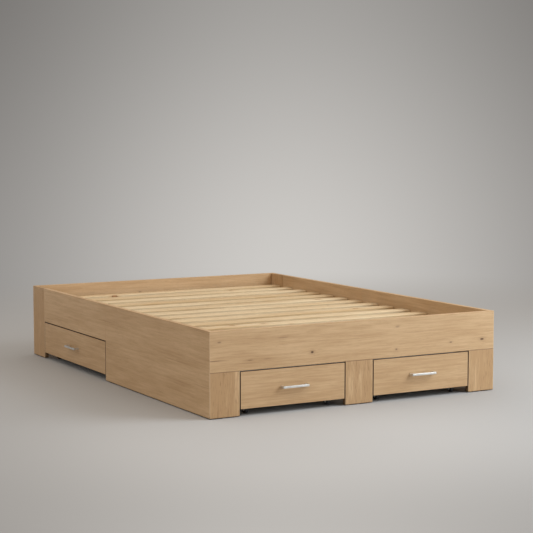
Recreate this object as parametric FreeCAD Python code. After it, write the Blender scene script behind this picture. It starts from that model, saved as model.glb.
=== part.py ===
"""Storage bed frame for a 140 by 200 cm mattress: two drawers at the foot and one on each side.

Millimetres, +Z up. X runs across the bed and Y from the foot to the head. The origin lies on the
floor, under the middle of the whole part with its handles.
"""
import FreeCAD, Part
import os

from FreeCAD import Placement, Rotation, Vector

# Mattress well and outer boards
mattress_width = 1400.0
mattress_length = 2000.0
mattress_play = 3.0
board = 22.0
edge_bevel = 1.0
frame_height = 365.0
upper_height = 173.0
post_width = 140.0
recess_depth = 62.0

# Floor glides under the standing boards
glide_height = 3.0
glide_width = 12.0
glide_length = 36.0
glide_inset = 44.0

# Drawer openings and fronts
side_opening = 805.0
front_thick = 16.0
front_gap = 4.0
floor_gap = 31.0

# Drawer boxes
foot_rear_gap = 240.0
side_rear_gap = 60.0
box_inset = 8.0
wall_thick = 12.0
wall_drop = 15.0
base_thick = 12.0

# Bow handles
handle_spacing = 118.0
handle_leg = 10.0
handle_bar = 8.0
handle_height = 10.0
handle_projection = 26.0
handle_outer_radius = 3.5
handle_inner_radius = 2.5
handle_bevel = 1.0

# Castors
wheel_radius = 17.5
wheel_width = 14.0
axle_radius = 3.0
axle_clearance = 0.05
wheel_side_gap = 0.8
wheel_headroom = 2.5
cheek_thick = 2.5
cheek_boss = 6.5
cheek_length = 36.0
plate_thick = 2.5
plate_length = 56.0
plate_width = 36.0
plate_corner = 5.0
castor_inset = 45.0
castor_setback = 44.0

# Guides beside the drawers
guide_thick = 24.0
guide_height = 30.0
guide_rise = 14.0
guide_clearance = 0.6

# Slatted base
slat_count = 14
slat_width = 68.0
slat_thick = 18.0
slat_bevel = 3.0
slat_play = 3.0
slat_end_margin = 36.0
ledge_width = 30.0
ledge_height = 30.0
strap_width = 20.0
strap_thick = 1.2
strap_place_share = 0.5

# Dividers, brackets and joining plates
divider = 16.0
bracket_leg = 40.0
bracket_thick = 2.5
bracket_height = 120.0
bracket_drop = 5.0
joining_width = 40.0
joining_height = 100.0
joining_thick = 2.0

# Plan of the frame
inner_width = mattress_width + 2 * mattress_play
inner_length = mattress_length + 2 * mattress_play
side_inner = inner_width / 2
side_face = side_inner + board
foot_face = (handle_projection - inner_length) / 2 - board
foot_inner = foot_face + board
head_inner = foot_inner + inner_length
head_face = head_inner + board
foot_opening = side_face - 3 * post_width / 2
foot_opening_middle = (post_width + foot_opening) / 2
side_opening_head = head_inner - post_width
side_opening_foot = side_opening_head - side_opening

# Heights
seam = frame_height - upper_height
slat_top = frame_height - recess_depth
slat_under = slat_top - slat_thick
ledge_under = slat_under - ledge_height
front_top = seam - front_gap
axle_height = wheel_radius
plate_under = 2 * wheel_radius + wheel_headroom
castor_height = plate_under + plate_thick
base_top = castor_height + base_thick
wall_top = front_top - wall_drop
guide_under = castor_height + guide_rise

# The walls of a drawer stand this far inside its opening, and a guide this much further
wall_margin = front_gap + box_inset
guide_margin = wall_margin - guide_clearance
cross_head_face = side_opening_foot + guide_margin - guide_thick
cross_foot_face = cross_head_face - divider

# The drawers reach back towards the dividers behind them
foot_drawer_depth = cross_foot_face - foot_rear_gap - foot_face - front_thick
side_drawer_depth = side_face - front_thick - divider / 2 - side_rear_gap

# Directions closer than this, in radians, count as the same
same_direction = 0.001

nodes = {}


def block(low, high):
    """A plain block between two opposite corners."""
    size = Vector(*high) - Vector(*low)
    return Part.makeBox(size.x, size.y, size.z, Vector(*low))


def panel(low, high):
    """A board between two opposite corners, with every edge softly bevelled."""
    solid = block(low, high)
    return solid.makeChamfer(edge_bevel, solid.Edges)


def mirrored(low, high, side):
    """The two corners of a board on the right (side 1) or, mirrored, on the left (side -1)."""
    x_pair = sorted((side * low[0], side * high[0]))
    return (x_pair[0], *low[1:]), (x_pair[1], *high[1:])


def edges_along(solid, axis):
    """The edges of a block that run along an axis."""
    return [e for e in solid.Edges if e.Curve.Direction.isParallel(axis, same_direction)]


def upright_board(plan, low, high):
    """A standing board with this outline seen from above, with every edge softly bevelled."""
    points = [Vector(x, y, low) for x, y in plan + plan[:1]]
    solid = Part.Face(Part.makePolygon(points)).extrude(Vector(0, 0, high - low))
    return solid.makeChamfer(edge_bevel, solid.Edges)


def end_plan(face, inner):
    """The outline, seen from above, of a mitred board across the foot or the head."""
    return [(-side_face, face), (side_face, face), (side_inner, inner), (-side_inner, inner)]


def add_outer_boards():
    """Foot, side and head boards, mitred where they meet at the four corners of the bed."""
    floor = glide_height
    nodes["foot_panel"] = upright_board(end_plan(foot_face, foot_inner), seam, frame_height)
    nodes["foot_post_centre"] = panel(
        (-post_width / 2, foot_face, floor), (post_width / 2, foot_inner, seam))
    nodes["head_panel"] = upright_board(end_plan(head_face, head_inner), floor, frame_height)
    post_edge = side_face - post_width
    for name, side in (("left", -1), ("right", 1)):
        outer, inner, edge = side * side_face, side * side_inner, side * post_edge
        foot_post = [(outer, foot_face), (edge, foot_face), (edge, foot_inner), (inner, foot_inner)]
        long_panel = [
            (outer, foot_face), (outer, side_opening_foot), (inner, side_opening_foot), (inner, foot_inner)]
        head_post = [
            (outer, side_opening_head), (outer, head_face), (inner, head_inner), (inner, side_opening_head)]
        nodes[f"foot_post_{name}"] = upright_board(foot_post, floor, seam)
        nodes[f"side_panel_{name}"] = upright_board(long_panel, floor, frame_height)
        nodes[f"head_post_{name}"] = upright_board(head_post, floor, frame_height)
        nodes[f"side_rail_{name}"] = panel(*mirrored(
            (side_inner, side_opening_foot, seam), (side_face, side_opening_head, frame_height), side))


def add_dividers():
    """A cross divider under the ledges, and a lengthwise divider on each side of it under the slats."""
    floor = glide_height
    half = divider / 2
    nodes["cross_divider"] = panel(
        (-side_inner, cross_foot_face, floor), (side_inner, cross_head_face, ledge_under))
    nodes["foot_divider"] = panel((-half, foot_inner, floor), (half, cross_foot_face, slat_under))
    nodes["head_divider"] = panel((-half, cross_head_face, floor), (half, head_inner, slat_under))


def add_floor_glides():
    """A flat glide near each end of every board that stands on the floor, in line with the board."""
    glides = []
    for box in [shape.BoundBox for shape in nodes.values() if shape.BoundBox.ZMin < front_top]:
        along = Vector(1, 0, 0) if box.XLength > box.YLength else Vector(0, 1, 0)
        across = Vector(along.y, along.x, 0)
        reach = max(box.XLength, box.YLength) / 2 - glide_inset
        corner = (along * glide_length + across * glide_width) / 2
        for end in (-1, 1):
            place = Vector(box.Center.x, box.Center.y, 0) + along * reach * end
            top = place + corner + Vector(0, 0, glide_height)
            glides.append(block(place - corner, top))
    nodes["floor_glides"] = Part.makeCompound(glides)


def add_slatted_base():
    """Ledge battens on the side boards, slats across them and, under the slats, two spacing straps."""
    for name, side in (("left", -1), ("right", 1)):
        nodes[f"slat_ledge_{name}"] = panel(*mirrored(
            (side_inner - ledge_width, foot_inner, ledge_under), (side_inner, head_inner, slat_under), side))
    reach = side_inner - slat_play
    first = foot_inner + slat_end_margin
    pitch = (inner_length - 2 * slat_end_margin - slat_width) / (slat_count - 1)
    slats = []
    for i in range(slat_count):
        y = first + i * pitch
        slat = block((-reach, y, slat_under), (reach, y + slat_width, slat_top))
        slats.append(slat.makeChamfer(slat_bevel, edges_along(slat, Vector(1, 0, 0))))
    nodes["slats"] = Part.makeCompound(slats)
    last = first + (slat_count - 1) * pitch + slat_width
    for name, side in (("left", -1), ("right", 1)):
        x = side * strap_place_share * reach
        nodes[f"slat_strap_{name}"] = block(
            (x - strap_width / 2, first + slat_bevel, slat_under - strap_thick),
            (x + strap_width / 2, last - slat_bevel, slat_under))


def add_corner_brackets():
    """A steel angle in each corner, under the ledge and across the seam of the foot boards."""
    low = ledge_under - bracket_drop - bracket_height
    brackets = []
    for x_side in (-1, 1):
        for y, y_side in ((foot_inner, 1), (head_inner, -1)):
            outline = [
                (0, 0), (bracket_leg, 0), (bracket_leg, bracket_thick), (bracket_thick, bracket_thick),
                (bracket_thick, bracket_leg), (0, bracket_leg), (0, 0)]
            points = [
                Vector(x_side * (side_inner - along), y + y_side * out, low) for along, out in outline]
            angle = Part.Face(Part.makePolygon(points))
            brackets.append(angle.extrude(Vector(0, 0, bracket_height)))
    nodes["corner_brackets"] = Part.makeCompound(brackets)


def add_joining_plates():
    """Flat steel plates behind the foot boards, across the seam between panel and posts."""
    centre_post_x = (divider + post_width) / 4
    outer_post_x = (side_inner - bracket_leg + side_face - post_width) / 2
    plates = []
    for x in (-outer_post_x, -centre_post_x, centre_post_x, outer_post_x):
        plates.append(block(
            (x - joining_width / 2, foot_inner, seam - joining_height / 2),
            (x + joining_width / 2, foot_inner + joining_thick, seam + joining_height / 2)))
    nodes["joining_plates"] = Part.makeCompound(plates)


def add_drawer_guides():
    """Battens beside the drawers: lengthwise for the foot drawers, crosswise for the side drawers."""
    top = guide_under + guide_height
    guides = []
    for side in (-1, 1):
        inner = post_width / 2 + guide_margin
        outer = post_width / 2 + foot_opening - guide_margin
        for near, far in ((inner - guide_thick, inner), (outer, outer + guide_thick)):
            guides.append(block(*mirrored(
                (near, foot_inner, guide_under), (far, cross_foot_face, top), side)))
        for y in (cross_head_face, side_opening_head - guide_margin):
            guides.append(block(*mirrored(
                (divider / 2, y, guide_under), (side_inner, y + guide_thick, top), side)))
    nodes["drawer_guides"] = Part.makeCompound(guides)


def bow_handle():
    """A U-shaped handle on the face y = 0, its bar along X and its legs pointing to +Y."""
    half = (handle_spacing + handle_leg) / 2
    inside = half - handle_leg
    depth = handle_projection
    body = block((-half, -depth, -handle_height / 2), (half, 0, handle_height / 2))
    upright = edges_along(body, Vector(0, 0, 1))
    body = body.makeFillet(handle_outer_radius, [e for e in upright if e.CenterOfMass.y < -depth / 2])
    gap = block((-inside, handle_bar - depth, -handle_height), (inside, depth, handle_height))
    upright = edges_along(gap, Vector(0, 0, 1))
    gap = gap.makeFillet(handle_inner_radius, [e for e in upright if e.CenterOfMass.y < 0])
    handle = body.cut(gap)
    faces = [f for f in handle.Faces if f.normalAt(0, 0).isParallel(Vector(0, 0, 1), same_direction)]
    rims = [e for f in faces for e in f.Edges if e.CenterOfMass.y < 0]
    return handle.makeChamfer(handle_bevel, rims)


def castor_fork():
    """A castor housing under the point x = y = 0: plate, two tapered cheeks and a moulded axle."""
    plate = block(
        (-plate_width / 2, -plate_length / 2, plate_under),
        (plate_width / 2, plate_length / 2, castor_height))
    plate = plate.makeChamfer(plate_corner, edges_along(plate, Vector(0, 0, 1)))
    inside = wheel_width / 2 + wheel_side_gap
    lowest = axle_height - cheek_boss
    rear_side = [(cheek_length / 2, plate_under), (cheek_boss, axle_height), (cheek_boss / 2, lowest)]
    front_side = [(-y, z) for y, z in reversed(rear_side)]
    outline = rear_side + front_side + rear_side[:1]
    profile = Part.Face(Part.makePolygon([Vector(0, y, z) for y, z in outline]))
    cheek = profile.extrude(Vector(cheek_thick, 0, 0))
    left = cheek.translated(Vector(-inside - cheek_thick, 0, 0))
    right = cheek.translated(Vector(inside, 0, 0))
    axle = Part.makeCylinder(axle_radius, 2 * inside, Vector(-inside, 0, axle_height), Vector(1, 0, 0))
    return plate.fuse([left, right, axle]).removeSplitter()


def castor_wheel():
    """A wheel with a flat tread, running on the axle."""
    start = Vector(-wheel_width / 2, 0, axle_height)
    along = Vector(1, 0, 0)
    tyre = Part.makeCylinder(wheel_radius, wheel_width, start, along)
    return tyre.cut(Part.makeCylinder(axle_radius + axle_clearance, wheel_width, start, along))


def add_drawer(name, opening, depth, placement):
    """A drawer on castors, built with its front facing -Y and then put in its place."""
    half_front = opening / 2 - front_gap
    half_box = opening / 2 - wall_margin
    box_front = front_thick
    box_rear = front_thick + depth
    half_clear = half_box - wall_thick
    handle_middle = Vector(0, 0, (floor_gap + front_top) / 2)
    castor_x = half_box - castor_inset
    castor_rows = {"front": box_front + castor_setback, "rear": box_rear - castor_setback}

    def pair(shape, y):
        return [shape.translated(Vector(x, y, 0)) for x in (-castor_x, castor_x)]

    forks = [fork for y in castor_rows.values() for fork in pair(castor_fork(), y)]
    pieces = {
        "front": panel((-half_front, 0, floor_gap), (half_front, box_front, front_top)),
        "base": panel((-half_box, box_front, castor_height), (half_box, box_rear, base_top)),
        "left_wall": panel((-half_box, box_front, base_top), (-half_clear, box_rear, wall_top)),
        "right_wall": panel((half_clear, box_front, base_top), (half_box, box_rear, wall_top)),
        "back": panel((-half_clear, box_rear - wall_thick, base_top), (half_clear, box_rear, wall_top)),
        "handle": bow_handle().translated(handle_middle),
        "castors": Part.makeCompound(forks)}
    for row, y in castor_rows.items():
        pieces[f"{row}_wheels"] = Part.makeCompound(pair(castor_wheel(), y))
    for piece, shape in pieces.items():
        shape.Placement = placement.multiply(shape.Placement)
        nodes[f"{name}_{piece}"] = shape


def add_drawers():
    """Two drawers at the foot, and one on each side under the head half of the bed."""
    up = Vector(0, 0, 1)
    side_middle = (side_opening_foot + side_opening_head) / 2
    for name, side in (("left", -1), ("right", 1)):
        foot_place = Placement(Vector(side * foot_opening_middle, foot_face, 0), Rotation(up, 0))
        add_drawer(f"foot_drawer_{name}", foot_opening, foot_drawer_depth, foot_place)
        side_place = Placement(Vector(side * side_face, side_middle, 0), Rotation(up, side * 90))
        add_drawer(f"side_drawer_{name}", side_opening, side_drawer_depth, side_place)


def main():
    add_outer_boards()
    add_dividers()
    add_floor_glides()
    add_slatted_base()
    add_corner_brackets()
    add_joining_plates()
    add_drawer_guides()
    add_drawers()
    os.makedirs("parts", exist_ok=True)
    for name, shape in nodes.items():
        shape.exportStep(f"parts/{name}.step")


main()
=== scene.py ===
"""Looks of the storage bed frame: oak-faced boards, white drawer boxes, pine slats, metal fittings.

Metres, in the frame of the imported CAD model: X across the bed, Y from the foot to the head, Z up.
"""

import math

import bpy
from mathutils import Euler, Matrix, Vector


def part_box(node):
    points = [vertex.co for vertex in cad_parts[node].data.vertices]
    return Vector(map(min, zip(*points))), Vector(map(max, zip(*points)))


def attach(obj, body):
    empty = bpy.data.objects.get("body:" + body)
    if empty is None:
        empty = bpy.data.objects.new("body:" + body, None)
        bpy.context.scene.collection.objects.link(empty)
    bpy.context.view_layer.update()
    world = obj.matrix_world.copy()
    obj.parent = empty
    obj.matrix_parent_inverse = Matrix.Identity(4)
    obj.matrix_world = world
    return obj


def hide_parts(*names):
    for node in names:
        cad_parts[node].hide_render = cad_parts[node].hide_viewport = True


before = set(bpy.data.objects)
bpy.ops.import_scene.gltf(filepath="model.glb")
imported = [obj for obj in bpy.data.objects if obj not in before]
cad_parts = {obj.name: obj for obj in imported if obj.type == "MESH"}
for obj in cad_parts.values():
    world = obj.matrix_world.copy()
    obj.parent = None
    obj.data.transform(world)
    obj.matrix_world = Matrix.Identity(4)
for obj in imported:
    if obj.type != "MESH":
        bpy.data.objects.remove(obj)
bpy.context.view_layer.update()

# The axes X, Y and Z
CROSSWISE, LENGTHWISE, UPRIGHT = 0, 1, 2

# Each drawer, and how far its front is turned about Z from facing the foot, in degrees
DRAWERS = {"foot_drawer_left": 0, "foot_drawer_right": 0, "side_drawer_left": -90, "side_drawer_right": 90}

# The photograph's camera
CAMERA_PLACE = (-3.4505, -6.3841, 1.1892)
CAMERA_YAW = math.radians(29.112)
CAMERA_PITCH = math.radians(5.290)
CAMERA_FOCUS_PX = 1490.2
PHOTO_WIDTH_PX = 533
SENSOR_WIDTH_MM = 36.0


# Colours and node graphs

# The range that most of a noise lies in
NOISE_LOW = 0.3
NOISE_HIGH = 0.7

# How far one seed moves a pattern on each axis, in cycles
SEED_STEPS = (3.1, 5.3, 7.7)


def srgb(red, green, blue):
    """A colour given in 8-bit sRGB, as linear RGBA."""
    def linear(value):
        share = value / 255
        return share / 12.92 if share <= 0.04045 else ((share + 0.055) / 1.055) ** 2.4
    return (linear(red), linear(green), linear(blue), 1.0)


def feed(slot, value):
    """Links a signal to a node's input, or sets the input to a constant."""
    if isinstance(value, Signal):
        slot.id_data.links.new(value.socket, slot)
    else:
        slot.default_value = value


def feed_all(node, *values):
    """Feeds a node's first inputs, in their order."""
    for slot, value in zip(node.inputs, values):
        feed(slot, value)


class Signal:
    """An output in a node tree. Arithmetic on number signals adds Math nodes."""

    def __init__(self, socket):
        self.socket = socket
        self.tree = socket.id_data

    def math(self, operation, *others):
        """The result of a Math node."""
        node = self.tree.nodes.new("ShaderNodeMath")
        node.operation = operation
        feed_all(node, self, *others)
        return Signal(node.outputs[0])

    def __add__(self, other):
        return self.math("ADD", other)

    def __sub__(self, other):
        return self.math("SUBTRACT", other)

    def __mul__(self, other):
        return self.math("MULTIPLY", other)

    def __truediv__(self, other):
        return self.math("DIVIDE", other)

    def vector(self, operation, *others):
        """The result of a Vector Math node: a number where the operation gives one."""
        node = self.tree.nodes.new("ShaderNodeVectorMath")
        node.operation = operation
        feed_all(node, self, *others)
        gives_number = operation in ("LENGTH", "DISTANCE", "DOT_PRODUCT")
        return Signal(node.outputs["Value" if gives_number else "Vector"])

    def ramp(self, start, end, low=0.0, high=1.0):
        """A smooth step from low at start to high at end."""
        node = self.tree.nodes.new("ShaderNodeMapRange")
        node.interpolation_type = "SMOOTHSTEP"
        feed_all(node, self, start, end, low, high)
        return Signal(node.outputs[0])

    def spanned(self, low=0.0, high=1.0):
        """Noise, brought from its usual range to one from low to high."""
        return self.ramp(NOISE_LOW, NOISE_HIGH, low, high)

    def split(self):
        """The three parts of a vector or colour signal."""
        node = self.tree.nodes.new("ShaderNodeSeparateXYZ")
        feed_all(node, self)
        return [Signal(output) for output in node.outputs]


def joined(x, y, z):
    """A vector signal from three number signals."""
    node = x.tree.nodes.new("ShaderNodeCombineXYZ")
    feed_all(node, x, y, z)
    return Signal(node.outputs[0])


def even(scale):
    """The same scale on every axis."""
    return (scale, scale, scale)


def stretched(point, scales, seed):
    """A point scaled on each axis, in cycles per metre, and moved to its own part of the pattern."""
    return point.vector("MULTIPLY_ADD", scales, [seed * step for step in SEED_STEPS])


def noise(point, scales, seed, detail=2.0, roughness=0.5):
    """Soft noise around 0.5."""
    node = point.tree.nodes.new("ShaderNodeTexNoise")
    feed(node.inputs["Vector"], stretched(point, scales, seed))
    node.inputs["Scale"].default_value = 1.0
    node.inputs["Detail"].default_value = detail
    node.inputs["Roughness"].default_value = roughness
    return Signal(node.outputs[0])


def cells(point, scales, seed):
    """Distance to the nearest of scattered points, and a number of that point's own."""
    node = point.tree.nodes.new("ShaderNodeTexVoronoi")
    feed(node.inputs["Vector"], stretched(point, scales, seed))
    node.inputs["Scale"].default_value = 1.0
    return Signal(node.outputs["Distance"]), Signal(node.outputs["Color"]).split()[0]


def mixed(factor, first, second):
    """A colour between two, each a signal or a constant."""
    node = factor.tree.nodes.new("ShaderNodeMix")
    node.data_type = "RGBA"
    for name, value in (("Factor_Float", factor), ("A_Color", first), ("B_Color", second)):
        slot = next(s for s in node.inputs if s.identifier == name)
        feed(slot, value)
    return Signal(next(s for s in node.outputs if s.identifier == "Result_Color"))


class Finish:
    """A material with a Principled shader, and the object's own coordinates as a signal."""

    def __init__(self, name, constants):
        self.material = bpy.data.materials.new(name)
        self.material.use_nodes = True
        self.tree = self.material.node_tree
        self.shader = self.tree.nodes["Principled BSDF"]
        for socket, value in constants.items():
            self.shader.inputs[socket].default_value = value
        source = self.tree.nodes.new("ShaderNodeTexCoord")
        self.point = Signal(source.outputs["Object"])

    def colour(self, signal):
        feed(self.shader.inputs["Base Color"], signal)

    def roughness(self, signal):
        feed(self.shader.inputs["Roughness"], signal)

    def bump(self, height, distance):
        """Relief that is distance deep, in metres, where height goes from 0 to 1."""
        node = self.tree.nodes.new("ShaderNodeBump")
        node.inputs["Distance"].default_value = distance
        feed(node.inputs["Height"], height)
        feed(self.shader.inputs["Normal"], Signal(node.outputs[0]))


# Oak-faced boards

OAK_PALE = srgb(209, 177, 138)
OAK_DEEP = srgb(182, 147, 107)
OAK_LINE = srgb(158, 122, 84)
OAK_PORE = srgb(140, 106, 72)
OAK_KNOT = srgb(92, 62, 40)
# Painted highlight up the upright edges of a board
OAK_EDGE_HIGHLIGHT = srgb(228, 204, 172)
# Painted shade in dark lines at joints and gaps, and along the floor
OAK_JOINT_SHADE = srgb(112, 84, 58)
# Painted shade for narrow faces in the gaps between boards
OAK_GAP_SHADE = srgb(62, 45, 30)
OAK_RELIEF = 0.00010

# The grain's layers, in cycles per metre along it, across it and from board to board
OAK_WANDER_SCALES = (1.8, 4.0, 1.0)
OAK_CLOUD_SCALES = (2.6, 17.0, 1.0)
OAK_STREAK_SCALES = (4.5, 95.0, 1.0)
OAK_FIBRE_SCALES = (13.0, 480.0, 1.0)
OAK_PORE_SCALES = (26.0, 1100.0, 1.0)
OAK_VEIN_SCALES = (2.4, 150.0, 1.0)

# How far lines wander across the grain, what each layer adds to the tone, and the tone's reach around 0.5
WANDER_REACH = 0.014
CLOUD_SHARE = 0.34
STREAK_SHARE = 0.40
FIBRE_SHARE = 0.26
TONE_REACH = 0.19
VEIN_STRENGTH = 0.50
PORE_STRENGTH = 0.30

# Painted highlights up a board's upright edges, and lines of painted shade at its joints and along the
# floor: how far each reaches, and over which share of that it is full
EDGE_HIGHLIGHT_BAND = 0.0020
EDGE_HIGHLIGHT_STRENGTH = 0.6
JOINT_SHADE_BAND = 0.0016
JOINT_SHADE_STRENGTH = 0.8
FLOOR_SHADE_BAND = 0.0036
BAND_SHARE = 1 / 3

# How near another board must be for painted shade to darken a narrow face
GAP_REACH = 0.040
GAP_SAMPLES = 8

# A knot's core and halo, and how far off grain lines part around it, in half sizes of the knot
KNOT_CORE = (1.35, 0.35)
KNOT_HALO = (3.4, 1.0)
KNOT_HALO_SHARE = 0.14
KNOT_PARTING = (6.0, 0.0)
KNOT_PARTING_SHARE = 0.55

# Marks in the printed oak of the foot panel: X, Z, half length, half height, strength
FOOT_KNOTS = (
    (-0.237, 0.2455, 0.0075, 0.0050, 1.00),
    (0.658, 0.2400, 0.0105, 0.0046, 0.95),
    (0.485, 0.2375, 0.0075, 0.0034, 0.60),
    (0.192, 0.2265, 0.0060, 0.0044, 0.55),
    (0.197, 0.3265, 0.0110, 0.0045, 0.35),
    (-0.537, 0.2335, 0.0130, 0.0028, 0.40),
    (-0.457, 0.2335, 0.0180, 0.0022, 0.28),
    (-0.377, 0.3180, 0.0260, 0.0030, 0.25),
    (-0.680, 0.3175, 0.0090, 0.0036, 0.50),
    (-0.705, 0.2412, 0.0420, 0.0012, 0.75))
HEAD_KNOTS = (
    (0.310, 0.2600, 0.0080, 0.0050, 0.90),
    (-0.455, 0.1450, 0.0070, 0.0040, 0.70),
    (-0.120, 0.3010, 0.0090, 0.0042, 0.45),
    (0.560, 0.0900, 0.0080, 0.0038, 0.60))


def rim_share(tree, thin):
    """1 on the narrow faces of a board, and 0 on its two wide ones."""
    source = tree.nodes.new("ShaderNodeNewGeometry")
    facing = Signal(source.outputs["True Normal"]).split()[thin]
    return facing.math("ABSOLUTE").ramp(0.6, 0.4)


def painted_gap_shade(tree):
    """How much painted shade a point gets: 1 in a narrow gap between boards, and 0 in the open."""
    source = tree.nodes.new("ShaderNodeAmbientOcclusion")
    source.samples = GAP_SAMPLES
    source.inputs["Distance"].default_value = GAP_REACH
    return Signal(source.outputs["AO"]).ramp(0.85, 0.45)


def inside_distance(value, low, high):
    """How far a coordinate lies inside a range."""
    return (value - low).math("MINIMUM", (value - high) * -1.0)


def knot_marks(along, wide, across, knots):
    """How dark the knots are, and the place across the grain where lines have parted around them."""
    shade = None
    for knot_along, knot_across, half_length, half_height, strength in knots:
        side = wide - knot_across
        reach = joined((along - knot_along) / half_length, side / half_height, side * 0.0)
        distance = reach.vector("LENGTH")
        core = distance.ramp(*KNOT_CORE, 0.0, strength)
        mark = core + distance.ramp(*KNOT_HALO, 0.0, strength * KNOT_HALO_SHARE)
        shade = shade.math("MAXIMUM", mark) if shade else mark
        across = across - side * distance.ramp(*KNOT_PARTING, 0.0, KNOT_PARTING_SHARE)
    return shade, across


def edged(colour, parts, box, rim, joints, painted_lines_top):
    """A board's colour with a painted highlight up each upright edge, and a dark line of painted shade at
    each joint.
    """
    low, high = box
    inside = [inside_distance(parts[axis], low[axis], high[axis]) for axis in (CROSSWISE, LENGTHWISE)]
    # Painted highlight: a light line up each upright edge, ending below the given top
    from_upright_edge = inside[0].math("MAXIMUM", inside[1])
    edge = from_upright_edge.ramp(EDGE_HIGHLIGHT_BAND, EDGE_HIGHLIGHT_BAND * BAND_SHARE) * EDGE_HIGHLIGHT_STRENGTH
    below_painted_lines_top = parts[UPRIGHT].ramp(painted_lines_top, painted_lines_top - EDGE_HIGHLIGHT_BAND) if painted_lines_top else 1.0
    colour = mixed(edge * below_painted_lines_top, colour, OAK_EDGE_HIGHLIGHT)
    # Painted shade: a dark line at each joint, gap and floor contact, on the wide faces only
    wide_face = rim * -JOINT_SHADE_STRENGTH + JOINT_SHADE_STRENGTH
    for axis, place, reach in joints:
        away = (parts[axis] - place).math("ABSOLUTE")
        line = away.ramp(reach, reach * BAND_SHARE) * wide_face
        colour = mixed(line if axis == UPRIGHT else line * below_painted_lines_top, colour, OAK_JOINT_SHADE)
    return colour


def oak(node, grain, seed, knots=(), contrast=1.0, shade=0.0, fineness=1.0, joints=(), painted_lines_top=None):
    """Printed oak on a board.

    The grain runs along an axis, and the seed picks a part of the pattern. The shade darkens the whole
    board, and a fineness under 1 makes the grain coarser. Joints are where it meets another board, a
    gap or the floor: an axis, a place on it, and how far the dark line of painted shade there reaches.
    The painted highlight up each upright edge, and the upright lines of painted shade, end at the given top.
    """
    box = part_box(node)
    size = box[1] - box[0]
    thin = min(range(3), key=lambda axis: size[axis])
    wide = 3 - grain - thin
    finish = Finish(f"oak_{node}", {"Specular IOR Level": 0.4})
    parts = finish.point.split()
    along = parts[grain]
    knot_shade, across = knot_marks(along, parts[wide], parts[wide] + parts[thin], knots)

    wander = noise(joined(along, across, parts[thin]), OAK_WANDER_SCALES, seed)
    wandered = across + (wander - 0.5) * WANDER_REACH
    grain_point = joined(along, wandered * fineness, parts[thin] * 0.0 + seed)
    cloud = noise(grain_point, OAK_CLOUD_SCALES, seed + 1, detail=3.0)
    streak = noise(grain_point, OAK_STREAK_SCALES, seed + 2, detail=4.0, roughness=0.6)
    fibre = noise(grain_point, OAK_FIBRE_SCALES, seed + 3)
    pore = noise(grain_point, OAK_PORE_SCALES, seed + 4, detail=1.0).ramp(0.60, 0.70)
    vein = noise(grain_point, OAK_VEIN_SCALES, seed + 5).ramp(0.62, 0.74)

    tone = cloud * CLOUD_SHARE + streak * STREAK_SHARE + fibre * FIBRE_SHARE - shade
    tone_reach = TONE_REACH / contrast
    colour = mixed(tone.ramp(0.5 - tone_reach, 0.5 + tone_reach), OAK_DEEP, OAK_PALE)
    colour = mixed(vein * cloud.ramp(0.60, 0.40) * (VEIN_STRENGTH * contrast), colour, OAK_LINE)
    colour = mixed(pore * (PORE_STRENGTH * contrast), colour, OAK_PORE)
    if knot_shade:
        colour = mixed(knot_shade, colour, OAK_KNOT)
    rim = rim_share(finish.tree, thin)
    colour = edged(colour, parts, box, rim, joints, painted_lines_top)

    # Painted shade: narrow faces are dark where another board is close
    finish.colour(mixed(rim * painted_gap_shade(finish.tree), colour, OAK_GAP_SHADE))
    finish.roughness(fibre.spanned(0.44, 0.56) + pore * 0.08)
    finish.bump(fibre * 0.5 - pore, OAK_RELIEF)
    return finish.material


# White boards

WHITE_DEEP = srgb(214, 212, 207)
WHITE_PALE = srgb(219, 217, 213)
WHITE_SPECK = srgb(196, 194, 188)
WHITE_RELIEF = 0.00006


def white_board():
    """Smooth white melamine, with a faint orange-peel relief."""
    finish = Finish("white_board", {"Specular IOR Level": 0.4})
    mottle = noise(finish.point, even(14.0), seed=3.0, detail=3.0)
    speck = noise(finish.point, even(900.0), seed=4.0, detail=1.0)
    colour = mixed(mottle.spanned(), WHITE_DEEP, WHITE_PALE)
    finish.colour(mixed(speck.ramp(0.62, 0.74) * 0.25, colour, WHITE_SPECK))
    finish.roughness(mottle.spanned(0.36, 0.46))
    finish.bump(speck, WHITE_RELIEF)
    return finish.material


# Softwood

PINE_DEEP = srgb(202, 176, 138)
PINE_PALE = srgb(217, 197, 164)
PINE_RING = srgb(186, 148, 102)
PINE_FIBRE = srgb(182, 150, 112)
PINE_HALO = srgb(186, 138, 84)
PINE_KNOT = srgb(150, 98, 58)
PINE_BARK = srgb(96, 62, 40)
PINE_RELIEF = 0.00015

# The grain's layers, in cycles per metre along it, across it and in depth
PINE_WANDER_SCALES = (1.3, 7.0, 7.0)
PINE_CROWD_SCALES = (0.5, 26.0, 26.0)
PINE_FIBRE_SCALES = (12.0, 700.0, 700.0)
PINE_BROAD_SCALES = (1.2, 9.0, 9.0)

# Growth rings per metre, how much that differs between battens, and how far they lean with the depth
RING_RATE = 125.0
RING_RATE_REACH = 45.0
RING_LEAN = 0.6

# How many rings the wandering, the crowding and a knot push a ring aside
RING_WANDER = 8.0
RING_CROWDING = 3.0
RING_PARTING = 1.6

# Scattered knots: cells per metre, the chance of a knot in a cell, and the knot's parts in shares of a cell
PINE_KNOT_SCALES = (7.0, 14.0, 1.0)
PINE_KNOT_CHANCE = (0.86, 0.87)
PINE_HALO_REACH = (0.34, 0.10)
PINE_HEART_REACH = (0.125, 0.105)
PINE_BARK_INSIDE = (0.095, 0.115)
PINE_BARK_OUTSIDE = (0.140, 0.120)

# How far the pattern moves from one batten to the next: along, across and in depth, and for the knots along
BATTEN_STEPS = (3.7, 0.31, 1.9)
BATTEN_KNOT_STEP = 0.37

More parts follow.
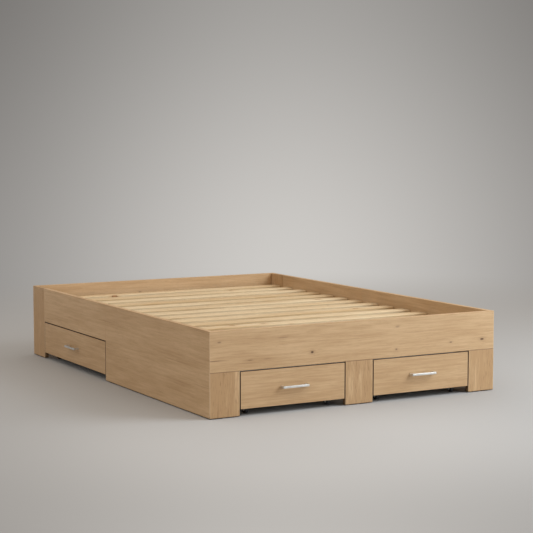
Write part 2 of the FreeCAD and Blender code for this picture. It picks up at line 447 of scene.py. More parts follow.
# How ring rate and tone differ between battens: radians of a sine from one to the next, and the tone's reach
BATTEN_RING_STEP = 1.713
BATTEN_TONE_STEP = 2.399
BATTEN_TONE_REACH = 0.22


def pine_knots(point):
    """Scattered knots: how far each point lies in a knot's halo, its heart and its bark."""
    gap, chance = cells(point, PINE_KNOT_SCALES, seed=5.0)
    has_knot = chance.ramp(*PINE_KNOT_CHANCE)
    halo = gap.ramp(*PINE_HALO_REACH) * has_knot
    heart = gap.ramp(*PINE_HEART_REACH) * has_knot
    bark = gap.ramp(*PINE_BARK_INSIDE) * gap.ramp(*PINE_BARK_OUTSIDE) * has_knot
    return halo, heart, bark


def pine(name, grain, battens=None):
    """Planed softwood with its grain along an axis.

    Where a node holds many battens side by side, each gets its own part of the pattern. They are given
    as the place across the grain where the first one's share of the row starts, and their pitch.
    """
    finish = Finish(name, {"Specular IOR Level": 0.3})
    parts = finish.point.split()
    along = parts[grain]
    across, depth = [parts[axis] for axis in range(3) if axis != grain]
    batten = across * 0.0
    if battens:
        first, pitch = battens
        batten = ((across - first) / pitch).math("FLOOR")
    point = joined(*[part + batten * step for part, step in zip((along, across, depth), BATTEN_STEPS)])
    halo, heart, bark = pine_knots(joined(along + batten * BATTEN_KNOT_STEP, across, depth * 0.0))

    # Growth rings: closer together on some battens, each darkening slowly and ending sharply
    wander = noise(point, PINE_WANDER_SCALES, seed=1.0)
    crowd = noise(point, PINE_CROWD_SCALES, seed=6.0, detail=1.0)
    ring_rate = (batten * BATTEN_RING_STEP).math("SINE") * RING_RATE_REACH + RING_RATE
    ring = (across + depth * RING_LEAN) * ring_rate + wander * RING_WANDER
    ring = ring + crowd * RING_CROWDING + halo * RING_PARTING
    share = ring.math("FRACT")
    late = share.ramp(0.25, 0.88) * share.ramp(1.0, 0.90)
    fibre = noise(point, PINE_FIBRE_SCALES, seed=2.0)
    broad = noise(point, PINE_BROAD_SCALES, seed=3.0, detail=3.0)
    batten_tone = (batten * BATTEN_TONE_STEP).math("SINE") * BATTEN_TONE_REACH

    colour = mixed(broad.spanned() + batten_tone, PINE_DEEP, PINE_PALE)
    colour = mixed(late * broad.ramp(0.75, 0.25, 0.22, 0.52), colour, PINE_RING)
    colour = mixed(fibre.ramp(0.55, 0.75) * 0.25, colour, PINE_FIBRE)
    colour = mixed(halo * 0.45, colour, PINE_HALO)
    colour = mixed(heart * 0.70, colour, PINE_KNOT)
    finish.colour(mixed(bark * 0.75, colour, PINE_BARK))
    finish.roughness(fibre.spanned(0.58, 0.70))
    finish.bump(fibre * 0.6 + late * 0.4, PINE_RELIEF)
    return finish.material


# Metal, plastic and webbing

ZINC_BRIGHT = srgb(206, 208, 212)
ZINC_DULL = srgb(178, 180, 184)
ZINC_ROUGHNESS = 0.36
ZINC_BRUSH = (300.0, 300.0, 90.0)
NICKEL_BRIGHT = srgb(232, 230, 226)
NICKEL_DULL = srgb(220, 217, 212)
NICKEL_ROUGHNESS = 0.54
NICKEL_BRUSH = (60.0, 60.0, 900.0)
METAL_RELIEF = 0.00002

WHEEL_GREY = srgb(58, 58, 60)
WHEEL_WORN = srgb(84, 84, 85)
WHEEL_ROUGHNESS = 0.5
NYLON_WHITE = srgb(232, 231, 226)
NYLON_WORN = srgb(214, 212, 205)
NYLON_ROUGHNESS = 0.4
GLIDE_BLACK = srgb(38, 36, 34)
GLIDE_WORN = srgb(62, 60, 57)
GLIDE_ROUGHNESS = 0.5
PLASTIC_RELIEF = 0.00004

TAPE_DEEP = srgb(176, 170, 156)
TAPE_PALE = srgb(222, 216, 202)
TAPE_FUZZ = srgb(190, 183, 168)
WARP_PITCH = 0.0016
WEFT_PITCH = 0.0022
TAPE_RELIEF = 0.0003


def brushed_metal(name, bright, dull, roughness, brush_scales):
    """Metal with fine brushing. The brush scales are in cycles per metre on X, Y and Z."""
    finish = Finish(name, {"Metallic": 1.0})
    brush = noise(finish.point, brush_scales, seed=1.0, detail=3.0)
    cloud = noise(finish.point, even(60.0), seed=2.0, detail=3.0)
    finish.colour(mixed(cloud.ramp(0.35, 0.65), dull, bright))
    finish.roughness(brush.spanned(roughness - 0.06, roughness + 0.08))
    finish.bump(brush, METAL_RELIEF)
    return finish.material


def moulded_plastic(name, colour, worn, roughness):
    """Moulded plastic with a fine spark-eroded texture and slight scuffing."""
    finish = Finish(name, {"Specular IOR Level": 0.45})
    spark = noise(finish.point, even(1500.0), seed=1.0)
    scuff = noise(finish.point, even(45.0), seed=2.0, detail=5.0, roughness=0.7)
    finish.colour(mixed(scuff.ramp(0.5, 0.75), colour, worn))
    finish.roughness(scuff.spanned(roughness, roughness + 0.12))
    finish.bump(spark, PLASTIC_RELIEF)
    return finish.material


def webbing():
    """Woven tape in a plain weave, slightly fuzzy."""
    finish = Finish("webbing", {"Specular IOR Level": 0.2, "Sheen Weight": 0.3})
    x, y = finish.point.split()[:2]
    warp = (x * (2 * math.pi / WARP_PITCH)).math("SINE")
    weft = (y * (2 * math.pi / WEFT_PITCH)).math("SINE")
    weave = (warp * weft).ramp(-0.8, 0.8)
    fuzz = noise(finish.point, even(700.0), seed=1.0, detail=3.0)
    colour = mixed(weave, TAPE_DEEP, TAPE_PALE)
    finish.colour(mixed(fuzz.ramp(0.5, 0.8) * 0.4, colour, TAPE_FUZZ))
    finish.roughness(weave.ramp(0.0, 1.0, 0.85, 0.72))
    finish.bump(weave, TAPE_RELIEF)
    return finish.material


# Meshes

SMOOTH_ANGLE = math.radians(40)


def add_piece(name, parts, material, body, replaced=()):
    """One object from (points, faces) pairs, riding on a body."""
    points, faces = [], []
    for part_points, part_faces in parts:
        first = len(points)
        points += part_points
        faces += [[first + i for i in face] for face in part_faces]
    mesh = bpy.data.meshes.new(name)
    mesh.from_pydata(points, [], faces)
    mesh.materials.append(material)
    mesh.shade_smooth()
    mesh.set_sharp_from_angle(angle=SMOOTH_ANGLE)
    piece = bpy.data.objects.new(name, mesh)
    bpy.context.scene.collection.objects.link(piece)
    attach(piece, body)
    if replaced:
        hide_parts(*replaced)
    return piece


def moved(part, matrix):
    """A copy of a (points, faces) pair, moved by a matrix."""
    points, faces = part
    return [matrix @ Vector(p) for p in points], faces


def skin(rings, closed_ends=True, loop=False):
    """Faces between rings of equally many points, each ring going the same way round."""
    count = len(rings[0])
    points = [p for ring in rings for p in ring]
    faces = []
    last = len(rings) if loop else len(rings) - 1
    for i in range(last):
        a, b = i * count, (i + 1) % len(rings) * count
        faces += [[a + j, a + (j + 1) % count, b + (j + 1) % count, b + j] for j in range(count)]
    if closed_ends and not loop:
        faces.append(list(range(count))[::-1])
        faces.append([len(points) - count + j for j in range(count)])
    return points, faces


def rounded_section(half_width, half_height, radius, steps):
    """A rectangle with round corners, as (side, up) points."""
    section = []
    corners = ((1, 1, 0), (-1, 1, 90), (-1, -1, 180), (1, -1, 270))
    for side, up, start in corners:
        for i in range(steps + 1):
            turn = math.radians(start + 90 * i / steps)
            section.append((
                side * (half_width - radius) + radius * math.cos(turn),
                up * (half_height - radius) + radius * math.sin(turn)))
    return section


def spread(low, high, count):
    """Evenly spaced values from low to high."""
    return [low + (high - low) * i / (count - 1) for i in range(count)]


# Bow handles

HANDLE_LEG = 0.010
HANDLE_BAR = 0.008
HANDLE_OUTER_BEND = 0.0040
HANDLE_INNER_BEND = 0.0025
HANDLE_ROUNDING = 0.0022
BEND_STEPS = 8
ROUNDING_STEPS = 5


def bend(x, y, radius, start, turn):
    """Points on a round corner about a middle, from a start angle through a turn, in degrees."""
    points = []
    for i in range(BEND_STEPS + 1):
        angle = math.radians(start + turn * i / BEND_STEPS)
        points.append((x + radius * math.cos(angle), y + radius * math.sin(angle)))
    return points


def bow_outline(width, projection, inset):
    """A bow handle seen from above, counterclockwise, drawn in by an inset everywhere but at y = 0."""
    outer, front = width / 2 - inset, inset - projection
    inner, rear = width / 2 - HANDLE_LEG + inset, HANDLE_BAR - projection - inset
    large, small = HANDLE_OUTER_BEND - inset, HANDLE_INNER_BEND + inset
    outline = [(-outer, 0.0)]
    outline += bend(large - outer, front + large, large, 180, 90)
    outline += bend(outer - large, front + large, large, 270, 90)
    outline += [(outer, 0.0), (inner, 0.0)]
    outline += bend(inner - small, rear + small, small, 0, -90)
    outline += bend(small - inner, rear + small, small, 270, -90)
    outline.append((-inner, 0.0))
    return outline


def handle_mesh(width, projection, height):
    """A bow handle on the plane y = 0: two legs and a bar with round bends and edges, in one piece."""
    levels = []
    for i in range(ROUNDING_STEPS + 1):
        turn = math.radians(90 * i / ROUNDING_STEPS)
        inset = HANDLE_ROUNDING * (1 - math.cos(turn))
        levels.append((inset, height / 2 - HANDLE_ROUNDING * (1 - math.sin(turn))))
    levels = [(inset, -z) for inset, z in reversed(levels)] + levels
    return skin([
        [Vector((x, y, z)) for x, y in bow_outline(width, projection, inset)] for inset, z in levels])


def add_handles(material):
    """A smooth handle in the place of each CAD handle."""
    for drawer, turn in DRAWERS.items():
        node = f"{drawer}_handle"
        low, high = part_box(node)
        size = high - low
        width, projection = (size.x, size.y) if turn == 0 else (size.y, size.x)
        front_low, front_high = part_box(f"{drawer}_front")
        middle = (low + high) / 2
        if turn == 0:
            middle.y = front_low.y
        else:
            middle.x = front_high.x if turn > 0 else front_low.x
        place = Matrix.Translation(middle) @ Matrix.Rotation(math.radians(turn), 4, "Z")
        part = moved(handle_mesh(width, projection, size.z), place)
        add_piece(f"{drawer}_bow_handle", [part], material, drawer, [node])


# Castor wheels

WHEEL_STEPS = 48
WHEEL_WIDTH = 0.014
WHEEL_BORE_RADIUS = 0.00315
HUB_RADIUS = 0.0062
HUB_BEVEL = 0.0006
WEB_SETBACK = 0.0040
RIM_THICK = 0.0035
RIM_BEVEL_RADIAL = 0.0006
RIM_BEVEL_AXIAL = 0.0004

# Points round the shoulder of the tread: in from its radius, and in from its side
TREAD_SHOULDER = ((0.0016, 0.0), (0.0008, 0.0003), (0.0002, 0.0012), (0.0, 0.0026))

RIB_COUNT = 6
RIB_THICK = 0.0014
RIB_SETBACK = 0.0012
RIB_OVERLAP = 0.0003


def wheel_mesh(radius):
    """A moulded wheel about the X axis: round-shouldered tread, thin web, hub with a bore, and ribs."""
    half = WHEEL_WIDTH / 2
    rim = radius - RIM_THICK
    side = [
        (WHEEL_BORE_RADIUS, half), (HUB_RADIUS - HUB_BEVEL, half), (HUB_RADIUS, half - HUB_BEVEL),
        (HUB_RADIUS, half - WEB_SETBACK), (rim, half - WEB_SETBACK),
        (rim, half - RIM_BEVEL_AXIAL), (rim + RIM_BEVEL_RADIAL, half)]
    side += [(radius - inward, half - aside) for inward, aside in TREAD_SHOULDER]
    profile = side + [(r, -x) for r, x in reversed(side)]
    rings = []
    for i in range(WHEEL_STEPS):
        turn = 2 * math.pi * i / WHEEL_STEPS
        rings.append([Vector((x, r * math.cos(turn), r * math.sin(turn))) for r, x in profile])
    parts = [skin(rings, loop=True)]
    near, far, half_rib = HUB_RADIUS - RIB_OVERLAP, rim + RIB_OVERLAP, RIB_THICK / 2
    section = ((near, -half_rib), (far, -half_rib), (far, half_rib), (near, half_rib))
    rib = skin([
        [Vector((end * (half - RIB_SETBACK), y, z)) for y, z in section] for end in (-1, 1)])
    for i in range(RIB_COUNT):
        parts.append(moved(rib, Matrix.Rotation(2 * math.pi * i / RIB_COUNT, 4, "X")))
    return parts


def add_wheels(material):
    """A pair of detailed wheels in the place of each CAD pair."""
    for drawer, turn in DRAWERS.items():
        axis = CROSSWISE if turn == 0 else LENGTHWISE
        for row in ("front", "rear"):
            node = f"{drawer}_{row}_wheels"
            low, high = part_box(node)
            middle = (low + high) / 2
            radius = (high.z - low.z) / 2
            parts = []
            for end in (low[axis] + WHEEL_WIDTH / 2, high[axis] - WHEEL_WIDTH / 2):
                place = middle.copy()
                place[axis] = end
                matrix = Matrix.Translation(place) @ Matrix.Rotation(math.radians(turn), 4, "Z")
                parts += [moved(part, matrix) for part in wheel_mesh(radius)]
            add_piece(f"{drawer}_{row}_castor_wheels", parts, material, node, [node])


# Slats

SLAT_COUNT = 14
SLAT_WIDTH = 0.068


def slat_middles():
    """The Y of the middle of each slat."""
    low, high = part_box("slats")
    return spread(low.y + SLAT_WIDTH / 2, high.y - SLAT_WIDTH / 2, SLAT_COUNT)


# Screws

# Screw heads: radius and height
FLUSH_HEAD = (0.0038, 0.0006)
PLATE_HEAD = (0.0044, 0.0022)
CASTOR_HEAD = (0.0032, 0.0016)
DRAWER_HEAD = (0.0045, 0.0018)

# A head's form: shares of its height and radius
SCREW_WALL_SHARE = 0.45
SCREW_TOP_SHARE = 0.80
RECESS_ARM_SHARE = 0.14
RECESS_REACH_SHARE = 0.55
RECESS_TAPER_SHARE = 0.8
RECESS_FLOOR_SHARE = 0.25
SCREW_STEPS = 24
RECESS_ARMS = 4

# How far each screw is turned from the one before, in radians
SCREW_TURN = 2.399

# What they hold, and where on it they sit
LEDGE_SCREW_COUNT = 8
LEDGE_SCREW_INSET = 0.11
BRACKET_THICK = 0.0025
BRACKET_SCREW_REACH = 0.0225
BRACKET_SCREW_INSET = 0.020
PLATE_WIDTH = 0.040
PLATE_CENTRE_X = 0.0390
PLATE_SCREW_INSETS = (0.014, 0.036)
REAR_SCREW_RISE = 0.014
REAR_SCREW_DROP = 0.025
CASTOR_PLATE_WIDTH = 0.036
CASTOR_PLATE_LENGTH = 0.056
CASTOR_PLATE_THICK = 0.0025
CASTOR_SCREW_X = 0.0125
CASTOR_SCREW_Y = 0.0225


def screw_mesh(radius, height):
    """A screw head on the plane z = 0, with a cross recess."""
    levels = ((radius, 0.0), (radius, height * SCREW_WALL_SHARE), (radius * SCREW_TOP_SHARE, height))
    first_turn = -2 * math.pi / SCREW_STEPS
    turns = [first_turn + 2 * math.pi * i / SCREW_STEPS for i in range(SCREW_STEPS)]
    points, faces = skin(
        [[Vector((r * math.cos(turn), r * math.sin(turn), z)) for turn in turns] for r, z in levels],
        closed_ends=False)
    arm, reach = radius * RECESS_ARM_SHARE, radius * RECESS_REACH_SHARE
    quarter = [(reach, -arm), (reach, arm), (arm, arm)]
    cross = []
    for i in range(RECESS_ARMS):
        spin = Matrix.Rotation(math.pi / 2 * i, 2)
        cross += [spin @ Vector(p) for p in quarter]
    corners = len(cross)
    rim, top, floor = len(points) - SCREW_STEPS, len(points), len(points) + corners
    points += [Vector((p.x, p.y, height)) for p in cross]
    taper, floor_z = RECESS_TAPER_SHARE, height * RECESS_FLOOR_SHARE
    points += [Vector((p.x * taper, p.y * taper, floor_z)) for p in cross]

    # The flat top between the rim and the cross, and the walls of the recess
    for i in range(corners):
        following = (i + 1) % corners
        near, middle, far = rim + 2 * i, rim + 2 * i + 1, rim + (2 * i + 2) % SCREW_STEPS
        faces.append([near, middle, top + i])
        faces.append([middle, far, top + following])
        faces.append([middle, top + following, top + i])
        faces.append([top + i, top + following, floor + following, floor + i])

    # The floor of the recess: its middle, and one face for each arm
    arm_starts = range(0, corners, len(quarter))
    faces.append([floor + start + 2 for start in arm_starts])
    for start in arm_starts:
        faces.append([
            floor + start, floor + start + 1, floor + start + 2, floor + (start - 1) % corners])
    return points, faces


def screws(places, head):
    """Screw heads at (point, outward direction) places, each turned a little differently."""
    mesh = screw_mesh(*head)
    parts = []
    for i, (point, outward) in enumerate(places):
        turn = Vector(outward).to_track_quat("Z", "Y").to_matrix().to_4x4()
        spin = Matrix.Rotation(i * SCREW_TURN, 4, "Z")
        parts.append(moved(mesh, Matrix.Translation(Vector(point)) @ turn @ spin))
    return parts


def slat_screw_places():
    """One screw at each end of each slat, over the ledges."""
    ledge_low, ledge_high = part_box("slat_ledge_right")
    x, z = (ledge_low.x + ledge_high.x) / 2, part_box("slats")[1].z
    return [((side * x, y, z), (0, 0, 1)) for y in slat_middles() for side in (-1, 1)]


def ledge_screw_places():
    """A row of screws through each ledge into the side of the bed."""
    low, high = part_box("slat_ledge_right")
    z = (low.z + high.z) / 2
    row = spread(low.y + LEDGE_SCREW_INSET, high.y - LEDGE_SCREW_INSET, LEDGE_SCREW_COUNT)
    return [((side * low.x, y, z), (-side, 0, 0)) for y in row for side in (-1, 1)]


def bracket_screw_places():
    """Two screws in each leg of the corner brackets."""
    low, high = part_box("corner_brackets")
    places = []
    for z in (low.z + BRACKET_SCREW_INSET, high.z - BRACKET_SCREW_INSET):
        for side in (-1, 1):
            for y, inward in ((low.y, 1), (high.y, -1)):
                x_wall, y_wall = side * (high.x - BRACKET_THICK), y + inward * BRACKET_THICK
                places.append(((x_wall, y + inward * BRACKET_SCREW_REACH, z), (-side, 0, 0)))
                places.append(((side * (high.x - BRACKET_SCREW_REACH), y_wall, z), (0, inward, 0)))
    return places


def plate_screw_places():
    """Four screws in each joining plate."""
    low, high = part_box("joining_plates")
    heights = [low.z + inset for inset in PLATE_SCREW_INSETS]
    heights += [high.z - inset for inset in reversed(PLATE_SCREW_INSETS)]
    middles = (low.x + PLATE_WIDTH / 2, -PLATE_CENTRE_X, PLATE_CENTRE_X, high.x - PLATE_WIDTH / 2)
    return [((x, high.y, z), (0, 1, 0)) for x in middles for z in heights]


def add_frame_screws(material):
    """Screws in the slats, ledges, corner brackets and joining plates."""
    rows = (
        ("slat_screws", slat_screw_places(), FLUSH_HEAD),
        ("ledge_screws", ledge_screw_places(), FLUSH_HEAD),
        ("bracket_screws", bracket_screw_places(), PLATE_HEAD),
        ("plate_screws", plate_screw_places(), PLATE_HEAD))
    for name, places, head in rows:
        add_piece(name, screws(places, head), material, "frame")


def turned_box(node, spin):
    """The box of a node after a turn about Z by quarter circles."""
    corners = [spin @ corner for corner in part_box(node)]
    return Vector(map(min, *corners)), Vector(map(max, *corners))


def castor_screw_places(low, high):
    """Four screws in each of the castor plates that fill the corners of a box."""
    z = high.z - CASTOR_PLATE_THICK
    places = []
    for x in (low.x + CASTOR_PLATE_WIDTH / 2, high.x - CASTOR_PLATE_WIDTH / 2):
        for y in (low.y + CASTOR_PLATE_LENGTH / 2, high.y - CASTOR_PLATE_LENGTH / 2):
            for dx in (-CASTOR_SCREW_X, CASTOR_SCREW_X):
                for dy in (-CASTOR_SCREW_Y, CASTOR_SCREW_Y):
                    places.append(((x + dx, y + dy, z), (0, 0, -1)))
    return places


def add_drawer_screws(material):
    """For each drawer: screws in its castor plates, behind its handle and, above the guides, at its rear.

    They are placed as if every drawer faced the foot, and then turned with it.
    """
    guide_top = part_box("drawer_guides")[1].z
    for drawer, turn in DRAWERS.items():
        spin = Matrix.Rotation(math.radians(turn), 4, "Z")
        back_spin = spin.inverted()
        handle_low, handle_high = turned_box(f"{drawer}_handle", back_spin)
        back_low, back_high = turned_box(f"{drawer}_back", back_spin)
        front_y = turned_box(f"{drawer}_front", back_spin)[1].y
        left_x = turned_box(f"{drawer}_left_wall", back_spin)[0].x
        right_x = turned_box(f"{drawer}_right_wall", back_spin)[1].x
        handle_z = (handle_low.z + handle_high.z) / 2
        rear_y = (back_low.y + back_high.y) / 2
        places = []
        for x in (handle_low.x + HANDLE_LEG / 2, handle_high.x - HANDLE_LEG / 2):
            places.append(((x, front_y, handle_z), (0, 1, 0)))
        for z in (guide_top + REAR_SCREW_RISE, back_high.z - REAR_SCREW_DROP):
            places.append(((left_x, rear_y, z), (-1, 0, 0)))
            places.append(((right_x, rear_y, z), (1, 0, 0)))
        parts = screws(castor_screw_places(*turned_box(f"{drawer}_castors", back_spin)), CASTOR_HEAD)
        parts += screws(places, DRAWER_HEAD)
        parts = [moved(part, spin) for part in parts]
        add_piece(f"{drawer}_screws", parts, material, drawer)


# Straps and staples

STRAP_SAG = 0.0016
STRAP_STEPS_PER_GAP = 10
STRAP_EDGE_SHARE = 0.45
STRAP_EDGE_STEPS = 3
STAPLE_CROWN = 0.011
STAPLE_HALF_WIRE = 0.0006
STAPLE_RISE = 0.0005
STAPLE_BURY = 0.0008
STAPLE_BEND = 0.0005
STAPLE_SHOULDER_SHARE = 0.4
STAPLE_EDGE_SHARE = 0.6
STAPLE_EDGE_STEPS = 2
STAPLE_OFFSET = 0.018


def strap_mesh(low, high, middles):
    """Tape stapled under the slats: flat under each slat, and slightly slack between them."""
    half_slat = SLAT_WIDTH / 2
    stations = [(low.y, 0.0)]
    for i in range(len(middles) - 1):
        start, end = middles[i] + half_slat, middles[i + 1] - half_slat
        for step in range(STRAP_STEPS_PER_GAP + 1):
            share = step / STRAP_STEPS_PER_GAP
            stations.append((start + (end - start) * share, STRAP_SAG * math.sin(math.pi * share) ** 2))
    stations.append((high.y, 0.0))
    width, thick = high.x - low.x, high.z - low.z
    section = rounded_section(width / 2, thick / 2, thick * STRAP_EDGE_SHARE, STRAP_EDGE_STEPS)
    middle_x, middle_z = (low.x + high.x) / 2, (low.z + high.z) / 2
    return skin([
        [Vector((middle_x + s, y, middle_z - sag + u)) for s, u in section] for y, sag in stations])


def staple_mesh():
    """A wire staple on the plane z = 0, its crown along X and its legs going down."""
    end = STAPLE_CROWN / 2
    shoulder = STAPLE_RISE * STAPLE_SHOULDER_SHARE
    section = rounded_section(
        STAPLE_HALF_WIRE, STAPLE_HALF_WIRE, STAPLE_HALF_WIRE * STAPLE_EDGE_SHARE, STAPLE_EDGE_STEPS)

    # X, Z and the turn of the wire, in degrees
    path = [(-end, -STAPLE_BURY, 0), (-end, shoulder, 20), (-end + STAPLE_BEND, STAPLE_RISE, 70)]
    path += [(-x, z, 180 - turn) for x, z, turn in reversed(path)]
    rings = []
    for x, z, turn in path:
        side = Vector((-math.cos(math.radians(turn)), 0, math.sin(math.radians(turn))))
        rings.append([Vector((x, u, z)) + side * s for s, u in section])
    return skin(rings)


def add_straps(tape, steel):
    """The two straps under the slats, and the staples that hold them."""
    middles = slat_middles()
    down = Matrix.Rotation(math.pi, 4, "X")
    staple = staple_mesh()
    staples = []
    for side in ("left", "right"):
        node = f"slat_strap_{side}"
        low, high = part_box(node)
        strap = add_piece(
            f"slat_webbing_{side}", [strap_mesh(low, high, middles)], tape, "frame", [node])
        middle_x = (low.x + high.x) / 2
        for y in middles:
            for offset in (-STAPLE_OFFSET, STAPLE_OFFSET):
                place = Matrix.Translation((middle_x, y + offset, low.z))
                staples.append(moved(staple, place @ down))
    add_piece("strap_staples", staples, steel, "frame")


# Dressing the CAD nodes

POST_GRAIN = {"contrast": 2.0, "shade": 0.065, "fineness": 0.40}
FRONT_SHADE = 0.035

# Parts of the oak pattern: for each kind of board, the seed of the first one
FOOT_PANEL_SEED = 1.0
HEAD_PANEL_SEED = 2.0
FOOT_POST_SEED = 3.0
SIDE_SEED = 11.0
HEAD_POST_SEED = 17.0
FOOT_FRONT_SEED = 21.0
SIDE_FRONT_SEED = 24.0


def dress(node, material):
    """Gives a CAD node a material."""
    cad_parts[node].data.materials.clear()
    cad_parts[node].data.materials.append(material)


def joint_shade_lines(node, axis):
    """Lines of painted shade at the joints along both ends of a board on an axis."""
    return [(axis, corner[axis], JOINT_SHADE_BAND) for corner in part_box(node)]


def dress_boards():
    """Oak on everything that shows: grain along the boards, and upright on the posts."""
    # Lines of painted shade: at the seam over the drawers' gap, and along the floor where the boards stand
    seam_shade_line = (UPRIGHT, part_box("foot_panel")[0].z, JOINT_SHADE_BAND)
    floor_shade_line = (UPRIGHT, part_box("foot_post_centre")[0].z, FLOOR_SHADE_BAND)
    dress("foot_panel", oak("foot_panel", CROSSWISE, FOOT_PANEL_SEED, FOOT_KNOTS, joints=[seam_shade_line]))
    dress("head_panel", oak("head_panel", CROSSWISE, HEAD_PANEL_SEED, HEAD_KNOTS, joints=[floor_shade_line]))

    # Each foot post, and on which of its sides a drawer's gap is: 0 to the left, 1 to the right
    gap_sides = {"left": [1], "centre": [0, 1], "right": [0]}
    for i, (post, gaps) in enumerate(gap_sides.items()):
        node = f"foot_post_{post}"
        sides = joint_shade_lines(node, CROSSWISE)
        joints = [seam_shade_line, floor_shade_line] + [sides[gap] for gap in gaps]
        dress(node, oak(node, UPRIGHT, FOOT_POST_SEED + i, joints=joints, **POST_GRAIN))

    fronts = (("foot", CROSSWISE, FOOT_FRONT_SEED), ("side", LENGTHWISE, SIDE_FRONT_SEED))
    for i, side in enumerate(("left", "right")):
        panel, rail, post = f"side_panel_{side}", f"side_rail_{side}", f"head_post_{side}"
        rail_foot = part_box(rail)[0].z
        # A line of painted shade where the rail meets the gap over the side drawer
        rail_shade_line = (UPRIGHT, rail_foot, JOINT_SHADE_BAND)
        joints = [floor_shade_line, joint_shade_lines(panel, LENGTHWISE)[1]]
        dress(panel, oak(panel, LENGTHWISE, SIDE_SEED + i, joints=joints, painted_lines_top=rail_foot))
        dress(rail, oak(rail, LENGTHWISE, SIDE_SEED + i, joints=[rail_shade_line], painted_lines_top=rail_foot))
        dress(post, oak(post, UPRIGHT, HEAD_POST_SEED + i, joints=[floor_shade_line], **POST_GRAIN))
        for place, grain, first_seed in fronts:
            front = f"{place}_drawer_{side}_front"
            joints = joint_shade_lines(front, grain) + joint_shade_lines(front, UPRIGHT)[1:]
            dress(front, oak(front, grain, first_seed + i, shade=FRONT_SHADE, joints=joints))


def dress_inside(steel):
    """White drawer boxes and dividers, softwood battens and slats, steel and plastic fittings."""
    white = white_board()
    for node in ("cross_divider", "foot_divider", "head_divider"):
        dress(node, white)
    for drawer in DRAWERS:
        for piece in ("base", "left_wall", "right_wall", "back"):
            dress(f"{drawer}_{piece}", white)
    middles = slat_middles()
    pitch = middles[1] - middles[0]
    dress("slats", pine("pine_slats", CROSSWISE, (middles[0] - pitch / 2, pitch)))
    for side in ("left", "right"):
        dress(f"slat_ledge_{side}", pine(f"pine_ledge_{side}", LENGTHWISE))
    dress("drawer_guides", pine("pine_guides", LENGTHWISE))
    dress("corner_brackets", steel)
    dress("joining_plates", steel)
    dress("floor_glides", moulded_plastic("glide_plastic", GLIDE_BLACK, GLIDE_WORN, GLIDE_ROUGHNESS))
    nylon = moulded_plastic("castor_nylon", NYLON_WHITE, NYLON_WORN, NYLON_ROUGHNESS)
    for drawer in DRAWERS:
        dress(f"{drawer}_castors", nylon)


# Stage, light and camera

# The floor: where it starts and ends fading into the backdrop, and a painted pool of light near the foot,
# paler than the floor around it
FLOOR_REACH = 60.0
FLOOR_MIDDLE = (0.34, -0.17, 0.0)
FLOOR_NEAR = 1.05
FLOOR_FAR = 5.30
FLOOR_COLOUR = srgb(180, 180, 181)
FLOOR_DIM = srgb(166, 166, 167)
FLOOR_LIGHT_POOL = (-0.63, -1.54, 0.0)
LIGHT_POOL_NEAR = 0.36
LIGHT_POOL_FAR = 1.30

# The backdrop, by direction: painted light falloff dims it sideways from near the middle of the view, and
# painted shade darkens it upwards
BACKDROP_BRIGHT = srgb(205, 202, 198)
BACKDROP_DIM = srgb(143, 140, 137)
BACKDROP_DARK = srgb(63, 60, 57)
BACKDROP_TURN = math.radians(1.0)
BACKDROP_REACH = 0.253
BACKDROP_FOOT = -0.107
BACKDROP_HEAD = 0.138
BACKDROP_SHADE = 0.50

# Light from all round: its strength at the horizon and overhead, and how high it has risen fully
AMBIENT_COLOUR = srgb(255, 243, 228)
AMBIENT_LOW = 0.18
AMBIENT_HIGH = 1.14
AMBIENT_RISE = 0.9

# Lamps: name, place, aim, size and watts
LAMP_COLOUR = srgb(238, 248, 255)
LAMPS = (
    ("key", (2.9, -2.9, 2.5), (0.5, -0.9, 0.1), 2.6, 155.0),
    ("front", (2.2, -4.5, 0.9), (0.4, -1.0, 0.15), 1.2, 14.0),
    ("fill", (-4.0, 0.2, 1.6), (-0.7, 0.0, 0.2), 1.6, 11.5),
    ("side", (-1.9, 3.5, 0.65), (-0.76, 0.56, 0.15), 1.0, 2.6))


def seen_rays(tree):
    """1 for rays that show the background itself: from the camera, and in metal or glass."""
    paths = tree.nodes.new("ShaderNodeLightPath")
    camera, glossy, through = [
        Signal(paths.outputs[name]) for name in ("Is Camera Ray", "Is Glossy Ray", "Is Transmission Ray")]
    return camera.math("MAXIMUM", glossy).math("MAXIMUM", through)


def shader_mix(tree, factor, first, second):
    """The output of a mix of two shaders, given by their nodes."""
    blend = tree.nodes.new("ShaderNodeMixShader")
    feed_all(blend, factor, Signal(first.outputs[0]), Signal(second.outputs[0]))
    return Signal(blend.outputs[0])


def camera_turn(further=0.0):
    """The camera's turn, or one that looks further to the right."""
    return Euler((math.pi / 2 - CAMERA_PITCH, 0, -CAMERA_YAW - further))


def backdrop_colour(direction):
    """A grey studio backdrop as the photograph shows it: brightest behind the bed, darker above."""
    # Painted light falloff: brightest near the middle of the view, dimmer sideways and darker upwards
    unit = direction.vector("NORMALIZE")
    right = camera_turn(BACKDROP_TURN).to_matrix() @ Vector((1, 0, 0))
    aside = unit.vector("DOT_PRODUCT", right).math("ABSOLUTE").ramp(0.0, BACKDROP_REACH)
    above = unit.split()[UPRIGHT].ramp(BACKDROP_FOOT, BACKDROP_HEAD, 0.0, BACKDROP_SHADE)
    return mixed(above, mixed(aside, BACKDROP_BRIGHT, BACKDROP_DIM), BACKDROP_DARK)


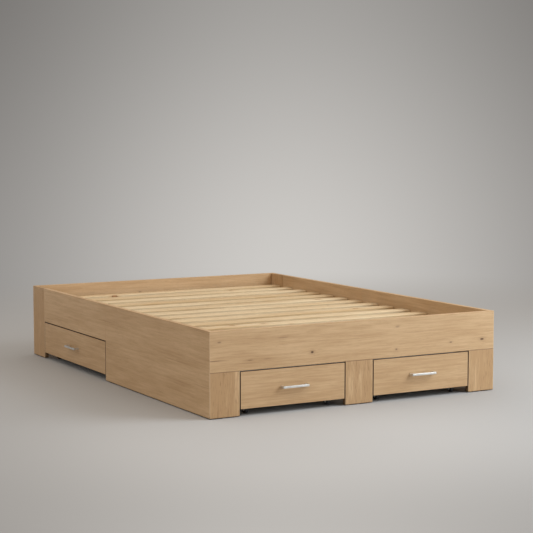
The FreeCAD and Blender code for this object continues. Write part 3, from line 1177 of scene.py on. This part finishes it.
def add_floor():
    """A pale floor that fades into the backdrop away from the bed, where it glows with the backdrop's
    painted colour for camera, glossy and transmission rays.
    """
    reach = FLOOR_REACH
    points = [(-reach, -reach, 0), (reach, -reach, 0), (reach, reach, 0), (-reach, reach, 0)]
    mesh = bpy.data.meshes.new("floor")
    mesh.from_pydata(points, [], [[0, 1, 2, 3]])
    floor = bpy.data.objects.new("floor", mesh)
    bpy.context.scene.collection.objects.link(floor)
    finish = Finish("floor", {"Roughness": 0.7, "Specular IOR Level": 0.2})
    mesh.materials.append(finish.material)
    # Painted light: a paler pool on the floor near the foot, dimmer further off
    light_pool = finish.point.vector("DISTANCE", FLOOR_LIGHT_POOL)
    finish.colour(mixed(light_pool.ramp(LIGHT_POOL_NEAR, LIGHT_POOL_FAR), FLOOR_COLOUR, FLOOR_DIM))
    # Painted glow: far from the bed the floor shows camera, glossy and transmission rays the backdrop's
    # colour as emission, not a lit floor
    glow = finish.tree.nodes.new("ShaderNodeEmission")
    feed(glow.inputs["Color"], backdrop_colour(finish.point.vector("SUBTRACT", CAMERA_PLACE)))
    away = finish.point.vector("DISTANCE", FLOOR_MIDDLE)
    far = away.ramp(FLOOR_NEAR, FLOOR_FAR) * seen_rays(finish.tree)
    blend = shader_mix(finish.tree, far, finish.shader, glow)
    feed(finish.tree.nodes["Material Output"].inputs["Surface"], blend)


def add_world():
    """Soft light from all round, mostly from above, and the backdrop behind the bed."""
    world = bpy.data.worlds.new("studio")
    bpy.context.scene.world = world
    world.use_nodes = True
    tree = world.node_tree
    source = tree.nodes.new("ShaderNodeTexCoord")
    direction = Signal(source.outputs["Generated"])
    ambient = tree.nodes["Background"]
    ambient.inputs["Color"].default_value = AMBIENT_COLOUR
    strength = direction.split()[UPRIGHT].ramp(0.0, AMBIENT_RISE, AMBIENT_LOW, AMBIENT_HIGH)
    feed(ambient.inputs["Strength"], strength)
    # The backdrop that camera, glossy and transmission rays see, with its painted light falloff
    backdrop = tree.nodes.new("ShaderNodeBackground")
    feed(backdrop.inputs["Color"], backdrop_colour(direction))
    blend = shader_mix(tree, seen_rays(tree), ambient, backdrop)
    feed(tree.nodes["World Output"].inputs["Surface"], blend)


def add_lamp(name, place, aim, size, watts):
    """A soft square lamp."""
    data = bpy.data.lights.new(name, "AREA")
    data.color = LAMP_COLOUR[:3]
    data.size = size
    data.energy = watts
    lamp = bpy.data.objects.new(name, data)
    lamp.location = place
    lamp.visible_camera = False
    lamp.rotation_euler = (Vector(aim) - Vector(place)).to_track_quat("-Z", "Y").to_euler()
    bpy.context.scene.collection.objects.link(lamp)


def add_camera():
    """The photograph's camera."""
    data = bpy.data.cameras.new("camera")
    data.sensor_width = SENSOR_WIDTH_MM
    data.lens = CAMERA_FOCUS_PX * SENSOR_WIDTH_MM / PHOTO_WIDTH_PX
    camera = bpy.data.objects.new("camera", data)
    camera.location = CAMERA_PLACE
    camera.rotation_euler = camera_turn()
    bpy.context.scene.collection.objects.link(camera)
    bpy.context.scene.camera = camera


def main():
    """Dresses the CAD nodes, adds the finer pieces, and sets up the stage."""
    zinc = brushed_metal("zinc_steel", ZINC_BRIGHT, ZINC_DULL, ZINC_ROUGHNESS, ZINC_BRUSH)
    nickel = brushed_metal("satin_nickel", NICKEL_BRIGHT, NICKEL_DULL, NICKEL_ROUGHNESS, NICKEL_BRUSH)
    wheel_plastic = moulded_plastic("wheel_plastic", WHEEL_GREY, WHEEL_WORN, WHEEL_ROUGHNESS)
    dress_boards()
    dress_inside(zinc)
    add_handles(nickel)
    add_wheels(wheel_plastic)
    add_straps(webbing(), zinc)
    add_frame_screws(zinc)
    add_drawer_screws(zinc)
    add_floor()
    add_world()
    for lamp in LAMPS:
        add_lamp(*lamp)
    add_camera()
    bpy.context.scene.view_settings.view_transform = "Standard"


main()
